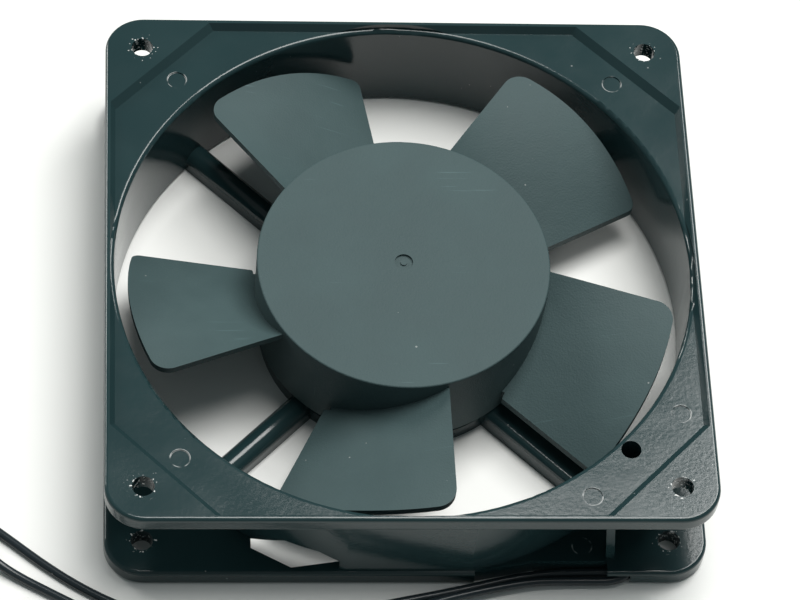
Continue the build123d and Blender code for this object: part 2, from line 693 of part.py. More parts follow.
def ball_cage(z0):
    """Ribbon that keeps the balls apart, with a pocket for each."""
    middle = z0 + RACE_W / 2
    body = ring(BALL_PITCH_R + CAGE_T, BALL_PITCH_R - CAGE_T, middle - CAGE_H / 2, middle + CAGE_H / 2)
    drill = Pos(RACE_INNER_R, 0, middle) * extrude(Plane.YZ * Circle(BALL_R + CAGE_PLAY), RACE_OUTER_R)
    for number in range(BALLS):
        body -= Rot(0, 0, number * 360 / BALLS) * drill
    return body


# ---- stator --------------------------------------------------------------------------------
def sector(radius, start, end, z0, z1):
    """Pie slice about the axis, between two angles less than 180 degrees apart."""
    reach = 2 * radius
    corners = [(0, 0), tuple(polar(reach, start))[:2], tuple(polar(reach, (start + end) / 2))[:2],
               tuple(polar(reach, end))[:2]]
    return Pos(0, 0, z0) * extrude(make_face(Polyline(*corners, close=True)), z1 - z0)


def shade_frame(grow):
    """Shading ring's loop at pole 0, in a plane across the radius, grown by a play."""
    middle = (SLOT_ANGLE + SHOE_HALF_ANGLE) / 2
    span = 2 * (SHOE_R + SHOE_T / 2) * math.sin(math.radians((SHOE_HALF_ANGLE - SLOT_ANGLE) / 2))
    span += SHADE_ROOM
    outer = Box(SHADE_T + grow, span + 2 * SHADE_W + grow, STACK_H + 2 * SHADE_W)
    inner = Box(SHADE_T + CUT_OVER, span - grow, STACK_H)
    at = Pos(SHOE_R + SHOE_T / 2, SHADE_SHIFT, STACK_Z + STACK_H / 2)
    return Rot(0, 0, middle) * (at * (outer - inner))


def stator_core():
    """Laminated star: yoke, four arms and pole shoes, each with a shading slot."""
    core = ring(YOKE_R, TUBE_R, STACK_Z, STACK_TOP)
    shoe = ring(STATOR_R, SHOE_R, STACK_Z, STACK_TOP)
    shoe &= sector(STATOR_R, -SHOE_HALF_ANGLE, SHOE_HALF_ANGLE, STACK_Z, STACK_TOP)
    arm = block(TUBE_R + CUT_OVER, SHOE_R + EMBED, -ARM_W / 2, ARM_W / 2, STACK_Z, STACK_TOP)
    pole = (shoe + arm) - shade_frame(SHADE_PLAY)
    for number in range(POLES):
        core += Rot(0, 0, number * 360 / POLES) * pole
    return core - disc(TUBE_R, 0, DEPTH)


def shading_ring(number):
    """Closed copper loop round one side of a pole shoe."""
    return Rot(0, 0, number * 360 / POLES) * shade_frame(0)


def insulator(z0):
    """Moulded end insulator over the yoke and arms."""
    plate = ring(YOKE_R, TUBE_R, z0, z0 + INSULATOR_T)
    arm = block(TUBE_R + CUT_OVER, SHOE_R, -ARM_W / 2, ARM_W / 2, z0, z0 + INSULATOR_T)
    for number in range(POLES):
        plate += Rot(0, 0, number * 360 / POLES) * arm
    return plate - disc(TUBE_R, 0, DEPTH)


def coil(number):
    """Winding round one arm."""
    inside_y = ARM_W / 2 + COIL_PLAY
    inside_z = STACK_H / 2 + INSULATOR_T + COIL_PLAY
    inner_r = YOKE_R + COIL_INSET
    shoe_at = math.sqrt(SHOE_R ** 2 - (inside_y + COIL_SIDE) ** 2)
    length = shoe_at - COIL_INSET - inner_r
    outer = Rectangle(2 * (inside_y + COIL_SIDE), 2 * (inside_z + COIL_END))
    outer = fillet(outer.vertices(), COIL_ROUND)
    loop = outer - Rectangle(2 * inside_y, 2 * inside_z)
    winding = Pos(inner_r, 0, STACK_Z + STACK_H / 2) * extrude(Plane.YZ * loop, length)
    return Rot(0, 0, number * 360 / POLES) * winding


# ---- small pieces of the base ----------------------------------------------------------------
def bearing_cap():
    """Plug that closes the bearing tube from below."""
    return disc(CAP_R, LABEL_RECESS, LABEL_RECESS + CAP_T)


def label():
    """Blank label over the cap."""
    return disc(LABEL_R - LABEL_PLAY, LABEL_RECESS - LABEL_T, LABEL_RECESS)


def lead_clip():
    """Slotted strip pressed into the channel's mouth."""
    end = CLIP_START + CLIP_L
    strip = block(CLIP_START, end, -CHANNEL_HALF, CHANNEL_HALF, 0, CLIP_T)
    slot = block(CLIP_START + CLIP_SOLID_L, end - CLIP_SOLID_L, -CLIP_SLOT_W / 2, CLIP_SLOT_W / 2, 0, CLIP_T)
    return Rot(0, 0, LEAD_ANGLE) * (strip - slot)


def splice_sleeve(side):
    """Sleeve over the joint between a lead and its winding's tail."""
    sleeve = Plane.YZ * Circle(LEAD_D / 2 + SLEEVE_WALL)
    body = Pos(SPLICE_R, side * LEAD_OFFSET, SPLICE_Z) * extrude(sleeve, SPLICE_L)
    return Rot(0, 0, LEAD_ANGLE) * body


# ---- put-away coil of both leads ---------------------------------------------------------------
def lead_coil():
    """Outer shape of the two leads' turns, lying on the surface."""
    section = RectangleRounded(COIL_BAND, COIL_H, COIL_CORNER_R)
    placed = Plane.XZ * (Pos(COIL_MID_R, COIL_BASE + COIL_H / 2) * section)
    return Pos(*COIL_AT, 0) * revolve(placed, Axis.Z, 360)


def lead_tie():
    """Flat tie round the coil's turns."""
    outer = RectangleRounded(COIL_BAND + 2 * TIE_T, COIL_H + 2 * TIE_T, COIL_CORNER_R + TIE_T)
    band = outer - RectangleRounded(COIL_BAND, COIL_H, COIL_CORNER_R)
    placed = Plane.XZ * (Pos(COIL_MID_R, COIL_BASE + COIL_H / 2) * band)
    start = TIE_ANGLE - TIE_SPAN / 2
    return Pos(*COIL_AT, 0) * (Rot(0, 0, start) * revolve(placed, Axis.Z, TIE_SPAN))


def lead_tip(angle, layer):
    """Stripped, tinned end of a lead, leaving the coil's innermost turn inwards."""
    start_r = COIL_MID_R - (COIL_BAND - LEAD_D) / 2
    height = COIL_BASE + (layer + 0.5) * LEAD_D
    rod = extrude(Plane.YZ * Circle(TIP_D / 2), TIP_L)
    local = Pos(start_r, 0, height) * (Rot(0, 0, 90 + TIP_TURN) * rod)
    return Pos(*COIL_AT, 0) * (Rot(0, 0, angle) * local) - lead_coil()


def main():
    """Build every node and save it."""
    os.makedirs("parts", exist_ok=True)
    nodes = {
        "frame": frame(), "impeller": impeller(), "rotor_shell": rotor_shell(),
        "rotor_core": rotor_core(), "rotor_cage": rotor_cage(), "rotor_bushing": rotor_bushing(),
        "shaft": shaft(), "retaining_ring": retaining_ring(), "preload_spring": preload_spring(),
        "upper_shim": shim(TUBE_TOP), "lower_shim": shim(LOWER_RACE_Z - SHIM_T),
        "stator_core": stator_core(), "upper_insulator": insulator(STACK_TOP),
        "lower_insulator": insulator(STACK_Z - INSULATOR_T), "bearing_cap": bearing_cap(),
        "label": label(), "lead_clip": lead_clip(), "lead_coil": lead_coil(), "lead_tie": lead_tie(),
        "splice_sleeve_1": splice_sleeve(-1), "splice_sleeve_2": splice_sleeve(1),
        "lead_tip_1": lead_tip(TIP_ANGLE_1, 0), "lead_tip_2": lead_tip(TIP_ANGLE_2, 1),
        "inner_lead_1": held_lead(-LEAD_OFFSET, "inner_lead_1"),
        "inner_lead_2": held_lead(LEAD_OFFSET, "inner_lead_2"),
        "lead_1": free_lead(free_route_1(), "lead_1"),
        "lead_2": free_lead(free_route_2(), "lead_2"),
    }
    for number in range(POLES):
        nodes[f"coil_{number + 1}"] = coil(number)
        nodes[f"shading_ring_{number + 1}"] = shading_ring(number)
    for name, z0 in (("upper", UPPER_RACE_Z), ("lower", LOWER_RACE_Z)):
        nodes[f"{name}_outer_race"] = outer_race(z0)
        nodes[f"{name}_inner_race"] = inner_race(z0)
        nodes[f"{name}_balls"] = balls(z0)
        nodes[f"{name}_ball_cage"] = ball_cage(z0)
    for name, shape in nodes.items():
        write(shape, name)


main()
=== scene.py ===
import logging
import math
from dataclasses import dataclass
from enum import Enum

import bpy
from mathutils import Euler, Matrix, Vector


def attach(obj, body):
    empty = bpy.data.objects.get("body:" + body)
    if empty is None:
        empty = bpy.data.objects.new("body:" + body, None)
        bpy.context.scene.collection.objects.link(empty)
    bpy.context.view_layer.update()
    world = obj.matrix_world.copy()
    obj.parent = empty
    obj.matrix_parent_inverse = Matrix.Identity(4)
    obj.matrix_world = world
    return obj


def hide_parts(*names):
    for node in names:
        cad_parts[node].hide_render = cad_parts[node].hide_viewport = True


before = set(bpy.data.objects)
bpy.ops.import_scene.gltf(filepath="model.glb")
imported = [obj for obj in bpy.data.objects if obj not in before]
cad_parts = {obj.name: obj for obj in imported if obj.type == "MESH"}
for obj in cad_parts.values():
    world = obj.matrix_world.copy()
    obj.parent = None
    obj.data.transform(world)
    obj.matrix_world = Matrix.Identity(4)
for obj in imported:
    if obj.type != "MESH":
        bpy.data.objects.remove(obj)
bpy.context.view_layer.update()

LOG = logging.getLogger("case_fan")
MM = 0.001
SENSOR_WIDTH = 36.0         # the camera's, in millimetres
NEAR_CLIP = 0.01
LEAD_CORNER_FROM = 0.06     # x - y past which a point lies in the lead corner
CHIP_LEVELS = (0.74, 0.77)  # how sharply a paint chip ends
PAINTED_HIGHLIGHT_BREAKS = (0.44, 0.60)  # how broken the painted highlight ring on an ejector mark's edge is
PAINTED_HIGHLIGHT_SHARE = 0.45         # how strongly the painted highlight ring on an ejector mark's edge shows in the pale metal colour
HAIRLINE_TURNS = (0.6, 2.3)
HAIRLINE_STRETCH = 34.0
HAIRLINE_LEVELS = (0.70, 0.74)
HAIRLINE_PATCHES = (0.50, 0.62)
BROAD_GRAIN = 0.12          # the unevenness's scale beside the fine grain's
LEAST_SPECK = 0.35
DUST_COLOUR = (0.55, 0.56, 0.54)
WARM_WHITE = (1.0, 1.0, 0.98)
WARMER_WHITE = (1.0, 0.99, 0.96)

Colour = tuple[float, float, float]
Point = tuple[float, float, float]
Source = bpy.types.NodeSocket | float | tuple


class Effect(Enum):
    """Shared surface effects, each one node group."""

    SPECKS = "dust_specks"
    HAIRLINES = "hairline_scratches"
    GRAIN = "surface_grain"
    # The group also paints a highlight ring on each ejector mark's edge.
    CHIPS_AND_MARK_HIGHLIGHTS = "paint_chips_and_mark_highlights"
    TURNING = "turning_marks"


class Lay(Enum):
    """Which way a metal's fine marks run."""

    PLAIN = "plain"
    TURNED = "turned"
    STACKED = "stacked"
    WOUND = "wound"


class Wiring:
    """Adds nodes to one tree and joins them."""

    def __init__(self, tree: bpy.types.NodeTree) -> None:
        """Keeps the tree to work in.

        Args:
            tree: The material's or group's node tree.
        """
        self.tree = tree

    def add(self, kind: str, **settings: object) -> bpy.types.Node:
        """Adds a node and sets its properties.

        Args:
            kind: The node's type name.
            **settings: Property names and their values.

        Returns:
            The new node.
        """
        node = self.tree.nodes.new(kind)
        for name, value in settings.items():
            setattr(node, name, value)
        return node

    def put(self, source: Source, target: bpy.types.NodeSocket) -> None:
        """Feeds a socket from another socket, or sets its value.

        Args:
            source: A socket, a number or a tuple.
            target: The input that takes it.
        """
        if isinstance(source, bpy.types.NodeSocket):
            self.tree.links.new(source, target)
        else:
            target.default_value = source

    def step(self, operation: str, *values: Source) -> bpy.types.NodeSocket:
        """Adds one step of arithmetic.

        Args:
            operation: The Math node's operation.
            *values: Its inputs, sockets or numbers.

        Returns:
            The result's socket.
        """
        node = self.add("ShaderNodeMath", operation=operation)
        for socket, value in zip(node.inputs, values):
            self.put(value, socket)
        return node.outputs[0]

    def noise(self, vector: Source, scale: Source, detail: float = 3.0) -> bpy.types.NodeSocket:
        """Adds a noise texture.

        Args:
            vector: Where it is read.
            scale: Its scale.
            detail: Its octaves.

        Returns:
            The noise's value socket.
        """
        node = self.add("ShaderNodeTexNoise")
        self.put(vector, node.inputs["Vector"])
        self.put(scale, node.inputs["Scale"])
        node.inputs["Detail"].default_value = detail
        return node.outputs["Fac"]

    def ramp(self, value: Source, low: float, high: float) -> bpy.types.NodeSocket:
        """Spreads a value between two limits over 0 to 1.

        Args:
            value: The socket to spread.
            low: What becomes 0.
            high: What becomes 1.

        Returns:
            The spread value's socket.
        """
        node = self.add("ShaderNodeMapRange", interpolation_type="SMOOTHSTEP")
        self.put(value, node.inputs["Value"])
        node.inputs["From Min"].default_value = low
        node.inputs["From Max"].default_value = high
        return node.outputs["Result"]

    def blend(self, share: Source, first: Source, second: Source) -> bpy.types.NodeSocket:
        """Mixes two colours.

        Args:
            share: How much of the second, as a socket or number.
            first: Colour at share 0, a socket or a tuple of four.
            second: Colour at share 1.

        Returns:
            The mixed colour's socket.
        """
        node = self.add("ShaderNodeMix", data_type="RGBA")
        self.put(share, node.inputs[0])
        self.put(first, node.inputs[6])
        self.put(second, node.inputs[7])
        return node.outputs[2]


class EffectLibrary:
    """Builds each shared effect once and places it in materials."""

    def __init__(self) -> None:
        """Starts with no group built."""
        self.groups: dict[Effect, bpy.types.NodeTree] = {}

    def place(self, wires: Wiring, effect: Effect, **values: Source) -> bpy.types.NodeSocket:
        """Adds an effect to a tree.

        Args:
            wires: The tree that takes it.
            effect: Which effect.
            **values: The group's inputs by name, with _ for a space.

        Returns:
            The effect's output socket.
        """
        if effect not in self.groups:
            self.groups[effect] = self._build(effect)
        node = wires.add("ShaderNodeGroup", node_tree=self.groups[effect])
        for name, value in values.items():
            wires.put(value, node.inputs[name.replace("_", " ")])
        return node.outputs[0]

    def _build(self, effect: Effect) -> bpy.types.NodeTree:
        """Makes an effect's node group.

        Args:
            effect: Which effect.

        Returns:
            The new group.
        """
        makers = {Effect.SPECKS: self._specks, Effect.HAIRLINES: self._hairlines,
                  Effect.GRAIN: self._grain, Effect.CHIPS_AND_MARK_HIGHLIGHTS: self._chips_and_mark_highlights,
                  Effect.TURNING: self._turning}
        return makers[effect](bpy.data.node_groups.new(effect.value, "ShaderNodeTree"))

    @staticmethod
    def _sockets(group: bpy.types.NodeTree, inputs: tuple[str, ...],
                 output: str) -> tuple[Wiring, bpy.types.Node, bpy.types.Node]:
        """Gives a group its sockets.

        Args:
            group: The group.
            inputs: Names of its number inputs, after Vector.
            output: Name of its output.

        Returns:
            The group's wiring, its input node and its output node.
        """
        group.interface.new_socket(name="Vector", in_out="INPUT", socket_type="NodeSocketVector")
        for name in inputs:
            group.interface.new_socket(name=name, in_out="INPUT", socket_type="NodeSocketFloat")
        group.interface.new_socket(name=output, in_out="OUTPUT", socket_type="NodeSocketFloat")
        wires = Wiring(group)
        return wires, wires.add("NodeGroupInput"), wires.add("NodeGroupOutput")

    def _specks(self, group: bpy.types.NodeTree) -> bpy.types.NodeTree:
        """Sparse round specks of dust.

        Args:
            group: The empty group.

        Returns:
            The same group, filled.
        """
        wires, inside, out = self._sockets(group, ("Scale", "Share", "Size"), "Mask")
        cells = wires.add("ShaderNodeTexVoronoi")
        wires.put(inside.outputs["Vector"], cells.inputs["Vector"])
        wires.put(inside.outputs["Scale"], cells.inputs["Scale"])
        picked = wires.add("ShaderNodeSeparateColor")
        wires.put(cells.outputs["Color"], picked.inputs[0])
        chosen = wires.step("LESS_THAN", picked.outputs[0], inside.outputs["Share"])
        varied = wires.step("ADD", picked.outputs[1], LEAST_SPECK)
        sized = wires.step("MULTIPLY", inside.outputs["Size"], varied)
        near = wires.step("LESS_THAN", cells.outputs["Distance"], sized)
        wires.put(wires.step("MULTIPLY", chosen, near), out.inputs["Mask"])
        return group

    def _hairlines(self, group: bpy.types.NodeTree) -> bpy.types.NodeTree:
        """Fine straight scratches in two directions, in patches.

        Args:
            group: The empty group.

        Returns:
            The same group, filled.
        """
        wires, inside, out = self._sockets(group, ("Scale", "Density"), "Mask")
        lines = []
        for turn in HAIRLINE_TURNS:
            mapped = wires.add("ShaderNodeMapping")
            wires.put(inside.outputs["Vector"], mapped.inputs["Vector"])
            mapped.inputs["Rotation"].default_value = (0.0, 0.0, turn)
            mapped.inputs["Scale"].default_value = (1.0, HAIRLINE_STRETCH, 1.0)
            streak = wires.noise(mapped.outputs[0], inside.outputs["Scale"], 2.0)
            lines.append(wires.ramp(streak, *HAIRLINE_LEVELS))
        patches = wires.ramp(wires.noise(inside.outputs["Vector"], 55.0, 2.0), *HAIRLINE_PATCHES)
        both = wires.step("MAXIMUM", *lines)
        shown = wires.step("MULTIPLY", wires.step("MULTIPLY", both, patches), inside.outputs["Density"])
        wires.put(shown, out.inputs["Mask"])
        return group

    def _grain(self, group: bpy.types.NodeTree) -> bpy.types.NodeTree:
        """Fine grain over broad, faint unevenness.

        Args:
            group: The empty group.

        Returns:
            The same group, filled.
        """
        wires, inside, out = self._sockets(group, ("Scale", "Unevenness"), "Height")
        fine = wires.noise(inside.outputs["Vector"], inside.outputs["Scale"], 4.0)
        wide = wires.step("MULTIPLY", inside.outputs["Scale"], BROAD_GRAIN)
        broad = wires.noise(inside.outputs["Vector"], wide, 2.0)
        lifted = wires.step("MULTIPLY", broad, inside.outputs["Unevenness"])
        wires.put(wires.step("ADD", fine, lifted), out.inputs["Height"])
        return group

    def _chips_and_mark_highlights(self, group: bpy.types.NodeTree) -> bpy.types.NodeTree:
        """Bare metal where the paint has chipped off round the four mounting holes, and a painted
        highlight ring on the edge of each ejector mark beside them.

        Three corners have one mark on the diagonal and the lead corner has two beside it,
        so distances are folded into one quarter and switched in that corner.

        Args:
            group: The empty group.

        Returns:
            The same group, filled.
        """
        names = ("Hole At", "Reach", "Share", "Mark At", "Far Mark", "Near Mark",
                 "Mark Radius", "Mark Width")
        wires, inside, out = self._sockets(group, names, "Mask")
        raw = wires.add("ShaderNodeSeparateXYZ")
        wires.put(inside.outputs["Vector"], raw.inputs[0])
        slant = wires.step("SUBTRACT", raw.outputs["X"], raw.outputs["Y"])
        lead_corner = wires.step("GREATER_THAN", slant, LEAD_CORNER_FROM)
        across = wires.step("ABSOLUTE", raw.outputs["X"])
        along = wires.step("ABSOLUTE", raw.outputs["Y"])
        hole_at = inside.outputs["Hole At"]
        away = self._distance(wires, (across, along), (hole_at, hole_at))
        near = wires.step("SUBTRACT", 1.0, wires.step("DIVIDE", away, inside.outputs["Reach"]))
        flakes = wires.noise(inside.outputs["Vector"], 1500.0, 3.0)
        level = wires.step("ADD", flakes, wires.step("MULTIPLY", near, inside.outputs["Share"]))
        chipped = wires.ramp(level, *CHIP_LEVELS)
        mark_at = inside.outputs["Mark At"]
        single = self._distance(wires, (across, along), (mark_at, mark_at))
        longer = wires.step("MAXIMUM", across, along)
        shorter = wires.step("MINIMUM", across, along)
        twin = self._distance(wires, (longer, shorter),
                              (inside.outputs["Far Mark"], inside.outputs["Near Mark"]))
        change = wires.step("MULTIPLY", lead_corner, wires.step("SUBTRACT", twin, single))
        from_mark = wires.step("ADD", single, change)
        # A thin pale ring on each ejector mark's edge: painted highlight where the shallow mark's edge
        # catches the light, broken up by noise.
        off_rim = wires.step("SUBTRACT", from_mark, inside.outputs["Mark Radius"])
        rim = wires.step("DIVIDE", wires.step("ABSOLUTE", off_rim), inside.outputs["Mark Width"])
        wear_and_highlight_breaks = wires.ramp(wires.noise(inside.outputs["Vector"], 420.0, 4.0), *PAINTED_HIGHLIGHT_BREAKS)
        painted_mark_highlight = wires.step("MULTIPLY", wires.step("LESS_THAN", rim, 1.0), wear_and_highlight_breaks)
        faint = wires.step("MULTIPLY", painted_mark_highlight, PAINTED_HIGHLIGHT_SHARE)
        wires.put(wires.step("MAXIMUM", chipped, faint), out.inputs["Mask"])
        return group

    @staticmethod
    def _distance(wires: Wiring, spot: tuple[Source, Source],
                  place: tuple[Source, Source]) -> bpy.types.NodeSocket:
        """Distance in plan between two points.

        Args:
            wires: The tree to work in.
            spot: One point's two sockets.
            place: The other's.

        Returns:
            The distance's socket.
        """
        gaps = [wires.step("SUBTRACT", here, there) for here, there in zip(spot, place)]
        squares = wires.step("ADD", *[wires.step("POWER", gap, 2.0) for gap in gaps])
        return wires.step("SQRT", squares)

    def _turning(self, group: bpy.types.NodeTree) -> bpy.types.NodeTree:
        """Even lines along Z, as on a stack of sheets or a turned rod.

        Args:
            group: The empty group.

        Returns:
            The same group, filled.
        """
        wires, inside, out = self._sockets(group, ("Pitch",), "Height")
        parts = wires.add("ShaderNodeSeparateXYZ")
        wires.put(inside.outputs["Vector"], parts.inputs[0])
        phase = wires.step("DIVIDE", parts.outputs["Z"], inside.outputs["Pitch"])
        wires.put(wires.step("PINGPONG", phase, 0.5), out.inputs["Height"])
        return group


EFFECTS = EffectLibrary()


def new_material(name: str) -> tuple[bpy.types.Material, Wiring, bpy.types.Node, bpy.types.NodeSocket]:
    """Starts a material.

    Args:
        name: Its name.

    Returns:
        The material, its wiring, its Principled shader and its Object coordinates.
    """
    material = bpy.data.materials.new(name)
    material.use_nodes = True
    wires = Wiring(material.node_tree)
    shader = material.node_tree.nodes["Principled BSDF"]
    return material, wires, shader, wires.add("ShaderNodeTexCoord").outputs["Object"]


def bump_normal(wires: Wiring, shader: bpy.types.Node, height: Source, strength: float,
                distance: float) -> None:
    """Raises a shader's surface by a height.

    Args:
        wires: The material's wiring.
        shader: Its Principled shader.
        height: The height's socket.
        strength: The bump's strength.
        distance: The bump's depth in metres.
    """
    bump = wires.add("ShaderNodeBump")
    bump.inputs["Strength"].default_value = strength
    bump.inputs["Distance"].default_value = distance
    wires.put(height, bump.inputs["Height"])
    wires.put(bump.outputs[0], shader.inputs["Normal"])


def opaque(colour: Colour) -> tuple[float, float, float, float]:
    """A colour with full alpha."""
    return (*colour, 1.0)


@dataclass(frozen=True)
class EnamelFinish:
    """Black baked enamel on a die casting, chipped round its screw holes, with painted highlight rings
    on its ejector marks.
    """

    name: str = "black_enamel"
    colour: Colour = (0.013, 0.033, 0.036)
    pale: Colour = (0.016, 0.038, 0.041)
    # This pale colour serves the chipped paint, the dust specks and the painted highlight rings on the
    # ejector marks.
    chip: Colour = (0.62, 0.63, 0.62)
    roughness: float = 0.14
    hole_at: float = 52.4 * MM
    chip_reach: float = 3.8 * MM
    mark_at: float = 45.25 * MM
    twin_mark: tuple[float, float] = (53.67 * MM, 34.86 * MM)
    mark_radius: float = 1.95 * MM
    mark_width: float = 0.14 * MM
    chip_share: float = 0.36
    shine: float = 0.42
    peel: float = 0.09
    peel_depth: float = 0.20 * MM

    def material(self) -> bpy.types.Material:
        """Makes the material.

        Returns:
            The material.
        """
        material, wires, shader, at = new_material(self.name)
        broad = wires.ramp(wires.noise(at, 45.0, 3.0), 0.35, 0.7)
        paint = wires.blend(broad, opaque(self.colour), opaque(self.pale))
        specks = EFFECTS.place(wires, Effect.SPECKS, Vector=at, Scale=700.0, Share=0.05, Size=0.11)
        chips_and_mark_highlights = EFFECTS.place(wires, Effect.CHIPS_AND_MARK_HIGHLIGHTS, Vector=at, Hole_At=self.hole_at,
                              Reach=self.chip_reach, Share=self.chip_share,
                              Mark_At=self.mark_at, Far_Mark=self.twin_mark[0],
                              Near_Mark=self.twin_mark[1], Mark_Radius=self.mark_radius,
                              Mark_Width=self.mark_width)
        dusty = wires.blend(wires.step("MULTIPLY", specks, 0.30), paint, opaque(self.chip))
        # The mask gives bare metal where paint has chipped and a painted highlight ring on each ejector
        # mark.
        wires.put(wires.blend(chips_and_mark_highlights, dusty, opaque(self.chip)), shader.inputs["Base Color"])
        patchy = wires.ramp(wires.noise(at, 130.0, 4.0), 0.3, 0.75)
        rough = wires.step("ADD", self.roughness, wires.step("MULTIPLY", patchy, 0.04))
        chip_and_highlight_roughness = wires.step("MULTIPLY", chips_and_mark_highlights, 0.2)
        wires.put(wires.step("ADD", rough, chip_and_highlight_roughness), shader.inputs["Roughness"])
        shader.inputs["Specular IOR Level"].default_value = self.shine
        peel = EFFECTS.place(wires, Effect.GRAIN, Vector=at, Scale=1100.0, Unevenness=0.6)
        bump_normal(wires, shader, wires.step("SUBTRACT", peel, chips_and_mark_highlights), self.peel, self.peel_depth)
        return material


@dataclass(frozen=True)
class MouldedFinish:
    """Moulded plastic with a fine grain, dust and hairlines."""

    name: str
    colour: Colour
    pale: Colour
    roughness: float = 0.5
    grain_scale: float = 2600.0
    grain: float = 0.12
    grain_depth: float = 0.12 * MM
    dust: float = 0.35
    scratch: float = 0.5
    shine: float = 0.3

    def material(self) -> bpy.types.Material:
        """Makes the material.

        Returns:
            The material.
        """
        material, wires, shader, at = new_material(self.name)
        cloudy = wires.ramp(wires.noise(at, 60.0, 4.0), 0.3, 0.75)
        body = wires.blend(cloudy, opaque(self.colour), opaque(self.pale))
        specks = EFFECTS.place(wires, Effect.SPECKS, Vector=at, Scale=600.0, Share=0.025, Size=0.10)
        lines = EFFECTS.place(wires, Effect.HAIRLINES, Vector=at, Scale=60.0, Density=self.scratch)
        pale = tuple(min(1.0, part * 3.2) for part in self.pale)
        scuffed = wires.blend(wires.step("MULTIPLY", lines, 0.35), body, opaque(pale))
        dusted = wires.step("MULTIPLY", specks, self.dust)
        wires.put(wires.blend(dusted, scuffed, opaque(DUST_COLOUR)), shader.inputs["Base Color"])
        wear_and_highlight_breaks = wires.step("SUBTRACT", self.roughness, wires.step("MULTIPLY", lines, 0.1))
        uneven = wires.step("MULTIPLY", cloudy, 0.06)
        wires.put(wires.step("ADD", wear_and_highlight_breaks, uneven), shader.inputs["Roughness"])
        grain = EFFECTS.place(wires, Effect.GRAIN, Vector=at, Scale=self.grain_scale, Unevenness=1.0)
        bump_normal(wires, shader, grain, self.grain, self.grain_depth)
        shader.inputs["Specular IOR Level"].default_value = self.shine
        return material


@dataclass(frozen=True)
class MetalFinish:
    """Bare metal, with marks of how it was made."""

    name: str
    colour: Colour
    tarnish: Colour
    roughness: float = 0.3
    lay: Lay = Lay.PLAIN
    pitch: float = 0.5 * MM
    grain: float = 0.08
    ridges: float = 0.6
    mark_depth: float = 0.06 * MM

    def material(self) -> bpy.types.Material:
        """Makes the material.

        Returns:
            The material.
        """
        material, wires, shader, at = new_material(self.name)
        shader.inputs["Metallic"].default_value = 1.0
        spots = wires.ramp(wires.noise(at, 260.0, 5.0), 0.45, 0.72)
        metal = wires.blend(spots, opaque(self.colour), opaque(self.tarnish))
        wires.put(metal, shader.inputs["Base Color"])
        rough = wires.step("ADD", self.roughness, wires.step("MULTIPLY", spots, 0.15))
        wires.put(rough, shader.inputs["Roughness"])
        if self.lay is Lay.PLAIN:
            height = EFFECTS.place(wires, Effect.GRAIN, Vector=at, Scale=2200.0, Unevenness=0.6)
        else:
            height = EFFECTS.place(wires, Effect.TURNING, Vector=at, Pitch=self.pitch)
        strength = self.grain if self.lay is Lay.PLAIN else self.ridges
        bump_normal(wires, shader, height, strength, self.mark_depth)
        return material


Finish = EnamelFinish | MouldedFinish | MetalFinish


class Dresser:
    """Gives CAD nodes their finishes, making each material once."""

    def __init__(self) -> None:
        """Starts with no material made."""
        self.made: dict[str, bpy.types.Material] = {}

    def material(self, finish: Finish) -> bpy.types.Material:
        """The material of a finish.

        Args:
            finish: The finish.

        Returns:
            Its material.
        """
        if finish.name not in self.made:
            self.made[finish.name] = finish.material()
        return self.made[finish.name]

    def dress(self, nodes: tuple[str, ...], finish: Finish) -> None:
        """Gives nodes a finish.

        Args:
            nodes: Names of CAD nodes.
            finish: Their finish.
        """
        for name in nodes:
            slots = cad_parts[name].data.materials
            for index in range(len(slots)):
                slots[index] = self.material(finish)
            if not slots:
                slots.append(self.material(finish))
            LOG.info("dressed %s in %s", name, finish.name)


DRESSER = Dresser()


@dataclass
class Casing:
    """Die casting with its label, cap and lead clip."""

    enamel: EnamelFinish = EnamelFinish()
    cap: MouldedFinish = MouldedFinish("cap_plastic", (0.02, 0.02, 0.02), (0.03, 0.03, 0.03))
    clip: MouldedFinish = MouldedFinish("clip_fibre", (0.05, 0.045, 0.04), (0.08, 0.07, 0.06), 0.7)
    film: MouldedFinish = MouldedFinish("label_film", (0.62, 0.62, 0.58), (0.70, 0.70, 0.67), 0.35,
                                        grain=0.04, dust=0.1, scratch=0.2)

    def dress(self) -> None:
        """Gives each piece its finish."""
        DRESSER.dress(("frame",), self.enamel)
        DRESSER.dress(("bearing_cap",), self.cap)
        DRESSER.dress(("lead_clip",), self.clip)
        DRESSER.dress(("label",), self.film)


@dataclass
class ImpellerMoulding:
    """Hub and blades in one matt moulding."""

    plastic: MouldedFinish = MouldedFinish("impeller_plastic", (0.041, 0.071, 0.074),
                                           (0.050, 0.084, 0.087), 0.60, grain=0.55)

    def dress(self) -> None:
        """Gives the moulding its finish."""
        DRESSER.dress(("impeller",), self.plastic)


